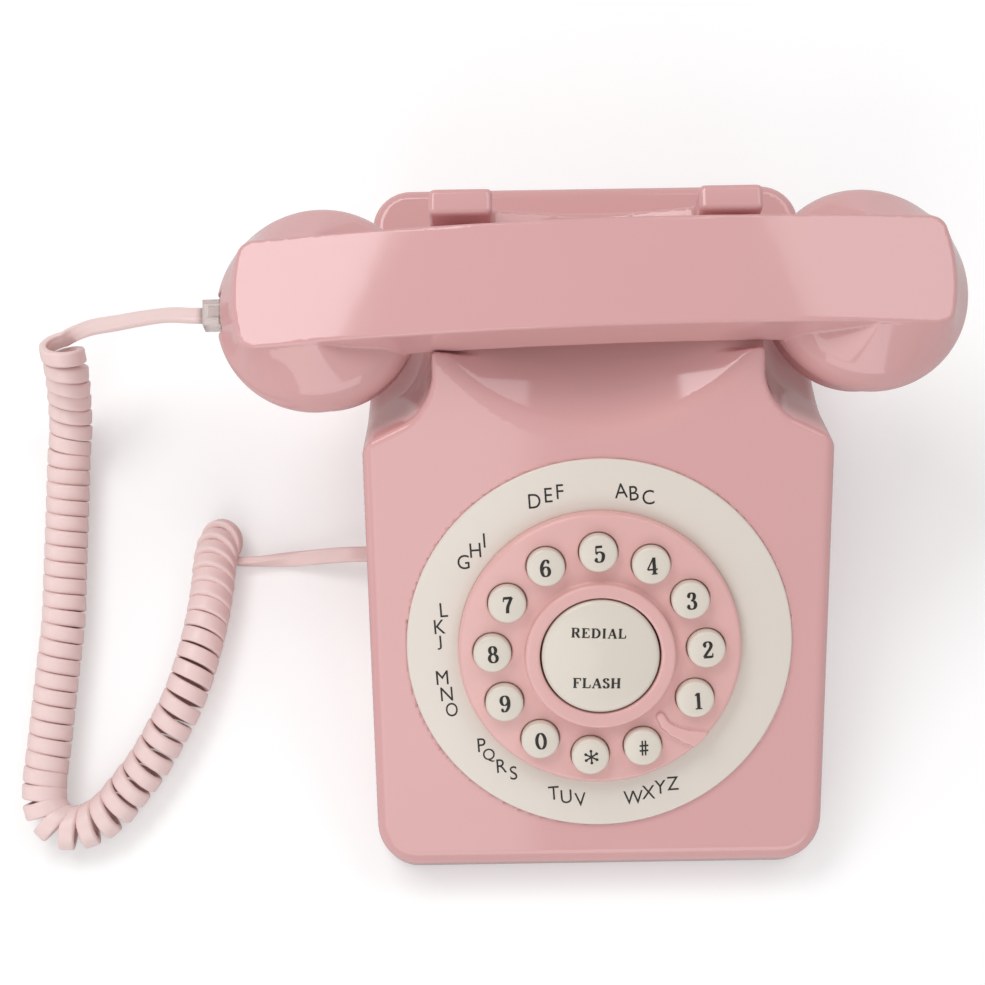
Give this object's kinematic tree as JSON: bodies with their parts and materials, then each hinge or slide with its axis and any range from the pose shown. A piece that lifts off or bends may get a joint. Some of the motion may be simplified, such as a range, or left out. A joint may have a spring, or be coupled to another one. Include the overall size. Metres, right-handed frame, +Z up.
{
  "type": "desk telephone",
  "caption": "Wedge-shaped desk telephone with push buttons set in a ring round a centre rocker, a handset lying across a raised cradle, and a curly cord.",
  "frame": {"origin": "on the surface the telephone stands on, under the middle of the body's width and depth", "axes": "+Z up; -Y towards the user, at the low front edge of the dial face; +X to the user's right, along the handset"},
  "size_m": [0.2841, 0.2084, 0.104],
  "materials": {
    "pink_shell": "glossy moulded ABS, rose pink",
    "ivory_trim": "glossy moulded ABS, ivory",
    "rubber": "matt",
    "steel": "zinc plated",
    "black_plastic": "matt moulded",
    "circuit_board": "green solder mask",
    "clear_plastic": "clear polycarbonate",
    "cord_sheath": "soft PVC, rose pink"
  },
  "bodies": {
    "base": {"upper_housing": "pink_shell", "base_plate": "pink_shell", "rubber_feet": "rubber", "base_screws": "steel", "dial_ring": "ivory_trim", "dial_plate": "pink_shell", "keypad_membrane": "rubber", "keypad_board": "circuit_board", "keypad_retainer": "black_plastic", "retainer_screws": "steel", "hook_pin": "steel", "hook_spring": "steel", "hook_switch": "black_plastic", "hook_bracket": "steel", "bracket_screws": "steel", "main_board": "circuit_board", "board_screws": "steel", "ballast_plate": "steel", "ringer_speaker": "black_plastic", "handset_jack": "black_plastic", "line_jack": "black_plastic", "ringer_switch_body": "black_plastic", "curly_cord": "cord_sheath", "base_lead": "cord_sheath", "base_plug": "clear_plastic"},
    "handset": {"handset_shell": "pink_shell", "handle_cover": "pink_shell", "cover_screws": "steel", "handset_weight": "steel", "earpiece_cap": "pink_shell", "mouthpiece_cap": "pink_shell", "receiver_capsule": "black_plastic", "microphone_capsule": "black_plastic", "handset_socket": "black_plastic", "handset_plug": "clear_plastic", "handset_lead": "cord_sheath"},
    "rocker": {"centre_rocker": "ivory_trim"},
    "plunger_left": {"hook_plunger_left": "clear_plastic"},
    "plunger_right": {"hook_plunger_right": "clear_plastic"},
    "lever": {"hook_lever": "ivory_trim"},
    "ringer_knob": {"ringer_switch_knob": "ivory_trim"},
    "key_1": {"key_1": "ivory_trim"},
    "key_2": {"key_2": "ivory_trim"},
    "key_3": {"key_3": "ivory_trim"},
    "key_4": {"key_4": "ivory_trim"},
    "key_5": {"key_5": "ivory_trim"},
    "key_6": {"key_6": "ivory_trim"},
    "key_7": {"key_7": "ivory_trim"},
    "key_8": {"key_8": "ivory_trim"},
    "key_9": {"key_9": "ivory_trim"},
    "key_0": {"key_0": "ivory_trim"},
    "key_star": {"key_star": "ivory_trim"},
    "key_hash": {"key_hash": "ivory_trim"}
  },
  "joints": [
    {"name": "handset_lift", "type": "slide", "parent": "base", "child": "handset", "axis": [0, 0, 1], "range_m": [0, 0.06]},
    {"name": "plunger_left_rise", "type": "slide", "parent": "base", "child": "plunger_left", "axis": [0, 0, 1], "range_m": [0, 0.003]},
    {"name": "plunger_right_rise", "type": "slide", "parent": "base", "child": "plunger_right", "axis": [0, 0, 1], "range_m": [0, 0.003]},
    {"name": "hook_lever_swing", "type": "hinge", "parent": "base", "child": "lever", "pos_m": [0, 0.03743, 0.05398], "axis": [1, 0, 0], "range_deg": [0, 12], "deforming": ["hook_spring"]},
    {"name": "key_1_press", "type": "slide", "parent": "base", "child": "key_1", "axis": [0, 0.4695, -0.8829], "range_m": [0, 0.0015], "stiffness_N_per_m": 400, "springref_m": -0.0002},
    {"name": "key_2_press", "type": "slide", "parent": "base", "child": "key_2", "axis": [0, 0.4695, -0.8829], "range_m": [0, 0.0015], "stiffness_N_per_m": 400, "springref_m": -0.0002},
    {"name": "key_3_press", "type": "slide", "parent": "base", "child": "key_3", "axis": [0, 0.4695, -0.8829], "range_m": [0, 0.0015], "stiffness_N_per_m": 400, "springref_m": -0.0002},
    {"name": "key_4_press", "type": "slide", "parent": "base", "child": "key_4", "axis": [0, 0.4695, -0.8829], "range_m": [0, 0.0015], "stiffness_N_per_m": 400, "springref_m": -0.0002},
    {"name": "key_5_press", "type": "slide", "parent": "base", "child": "key_5", "axis": [0, 0.4695, -0.8829], "range_m": [0, 0.0015], "stiffness_N_per_m": 400, "springref_m": -0.0002},
    {"name": "key_6_press", "type": "slide", "parent": "base", "child": "key_6", "axis": [0, 0.4695, -0.8829], "range_m": [0, 0.0015], "stiffness_N_per_m": 400, "springref_m": -0.0002},
    {"name": "key_7_press", "type": "slide", "parent": "base", "child": "key_7", "axis": [0, 0.4695, -0.8829], "range_m": [0, 0.0015], "stiffness_N_per_m": 400, "springref_m": -0.0002},
    {"name": "key_8_press", "type": "slide", "parent": "base", "child": "key_8", "axis": [0, 0.4695, -0.8829], "range_m": [0, 0.0015], "stiffness_N_per_m": 400, "springref_m": -0.0002},
    {"name": "key_9_press", "type": "slide", "parent": "base", "child": "key_9", "axis": [0, 0.4695, -0.8829], "range_m": [0, 0.0015], "stiffness_N_per_m": 400, "springref_m": -0.0002},
    {"name": "key_0_press", "type": "slide", "parent": "base", "child": "key_0", "axis": [0, 0.4695, -0.8829], "range_m": [0, 0.0015], "stiffness_N_per_m": 400, "springref_m": -0.0002},
    {"name": "key_star_press", "type": "slide", "parent": "base", "child": "key_star", "axis": [0, 0.4695, -0.8829], "range_m": [0, 0.0015], "stiffness_N_per_m": 400, "springref_m": -0.0002},
    {"name": "key_hash_press", "type": "slide", "parent": "base", "child": "key_hash", "axis": [0, 0.4695, -0.8829], "range_m": [0, 0.0015], "stiffness_N_per_m": 400, "springref_m": -0.0002},
    {"name": "rocker_tilt", "type": "hinge", "parent": "base", "child": "rocker", "pos_m": [0, -0.0468, 0.05272], "axis": [1, 0, 0], "range_deg": [-3, 3], "stiffness_Nm_per_rad": 0.3},
    {"name": "ringer_switch_slide", "type": "slide", "parent": "base", "child": "ringer_knob", "axis": [1, 0, 0], "range_m": [0, 0.004]}
  ],
  "couplings": [
    {"joint": "plunger_left_rise", "follows": "handset_lift", "ratio": 0.05},
    {"joint": "plunger_right_rise", "follows": "handset_lift", "ratio": 0.05},
    {"joint": "hook_lever_swing", "follows": "handset_lift", "rad_per_m": 3.49}
  ]
}
